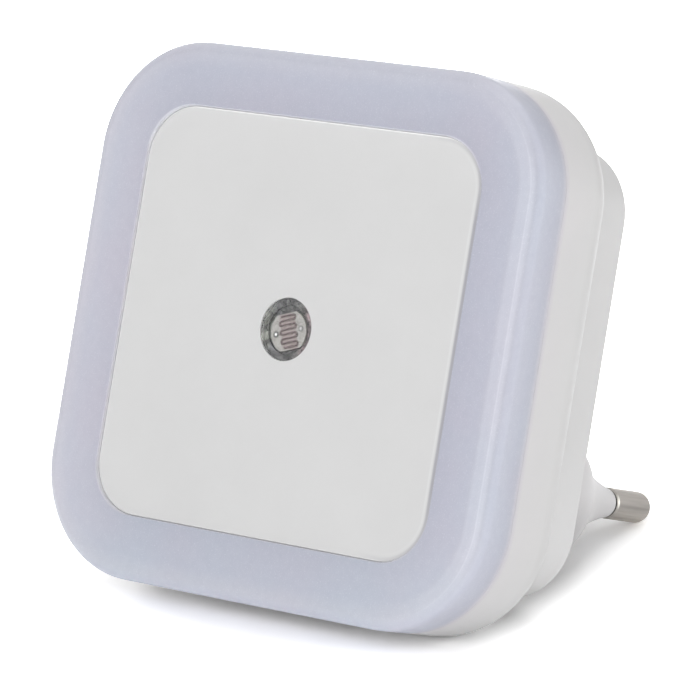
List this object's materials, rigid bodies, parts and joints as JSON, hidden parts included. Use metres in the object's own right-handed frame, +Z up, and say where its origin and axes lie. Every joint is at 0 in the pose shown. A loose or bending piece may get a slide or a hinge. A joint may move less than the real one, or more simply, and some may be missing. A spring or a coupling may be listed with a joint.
{
  "type": "plug-in night light",
  "caption": "Square plug-in night light: translucent frame round an opaque plate with a dusk sensor, two-tier rear housing and a plug with two round pins.",
  "frame": {"origin": "middle of the plug's seat, the flat between the two pins that faces the wall socket", "axes": "+Y along the pins, into the wall; +Z up as plugged in; +X to the right seen from the front"},
  "size_m": [0.066, 0.0684, 0.066],
  "materials": {
    "plate": "fine matt",
    "diffuser": "milky, satin",
    "housing": "satin",
    "pins": "nickel plated, fine turned",
    "window": "clear, polished",
    "dark_plastic": "satin",
    "shroud": "cloudy",
    "ceramic": "glazed",
    "track": "matt",
    "tinned_wire": "tinned",
    "led_board": "white solder mask",
    "led": "phosphor under clear resin",
    "driver_board": "green solder mask",
    "screws": "zinc plated",
    "yellow_case": "moulded case",
    "resistor": "lacquer",
    "diode": "glass body",
    "brown_wire": "insulation",
    "blue_wire": "insulation"
  },
  "bodies": {
    "root": {"front_plate": "plate", "diffuser": "diffuser", "rear_housing": "housing", "plug_base": "housing", "pin_left": "pins", "pin_right": "pins", "sensor_window": "window", "sensor_shroud": "shroud", "light_sensor": "ceramic", "sensor_track": "track", "sensor_leads": "tinned_wire", "led_board": "led_board", "leds": "led", "driver_board": "driver_board", "board_screws": "screws", "film_capacitor": "yellow_case", "round_capacitor": "dark_plastic", "bridge_rectifier": "dark_plastic", "resistors": "resistor", "switch_transistor": "dark_plastic", "zener_diode": "diode", "board_link": "dark_plastic", "live_wire": "brown_wire", "neutral_wire": "blue_wire"}
  },
  "joints": []
}
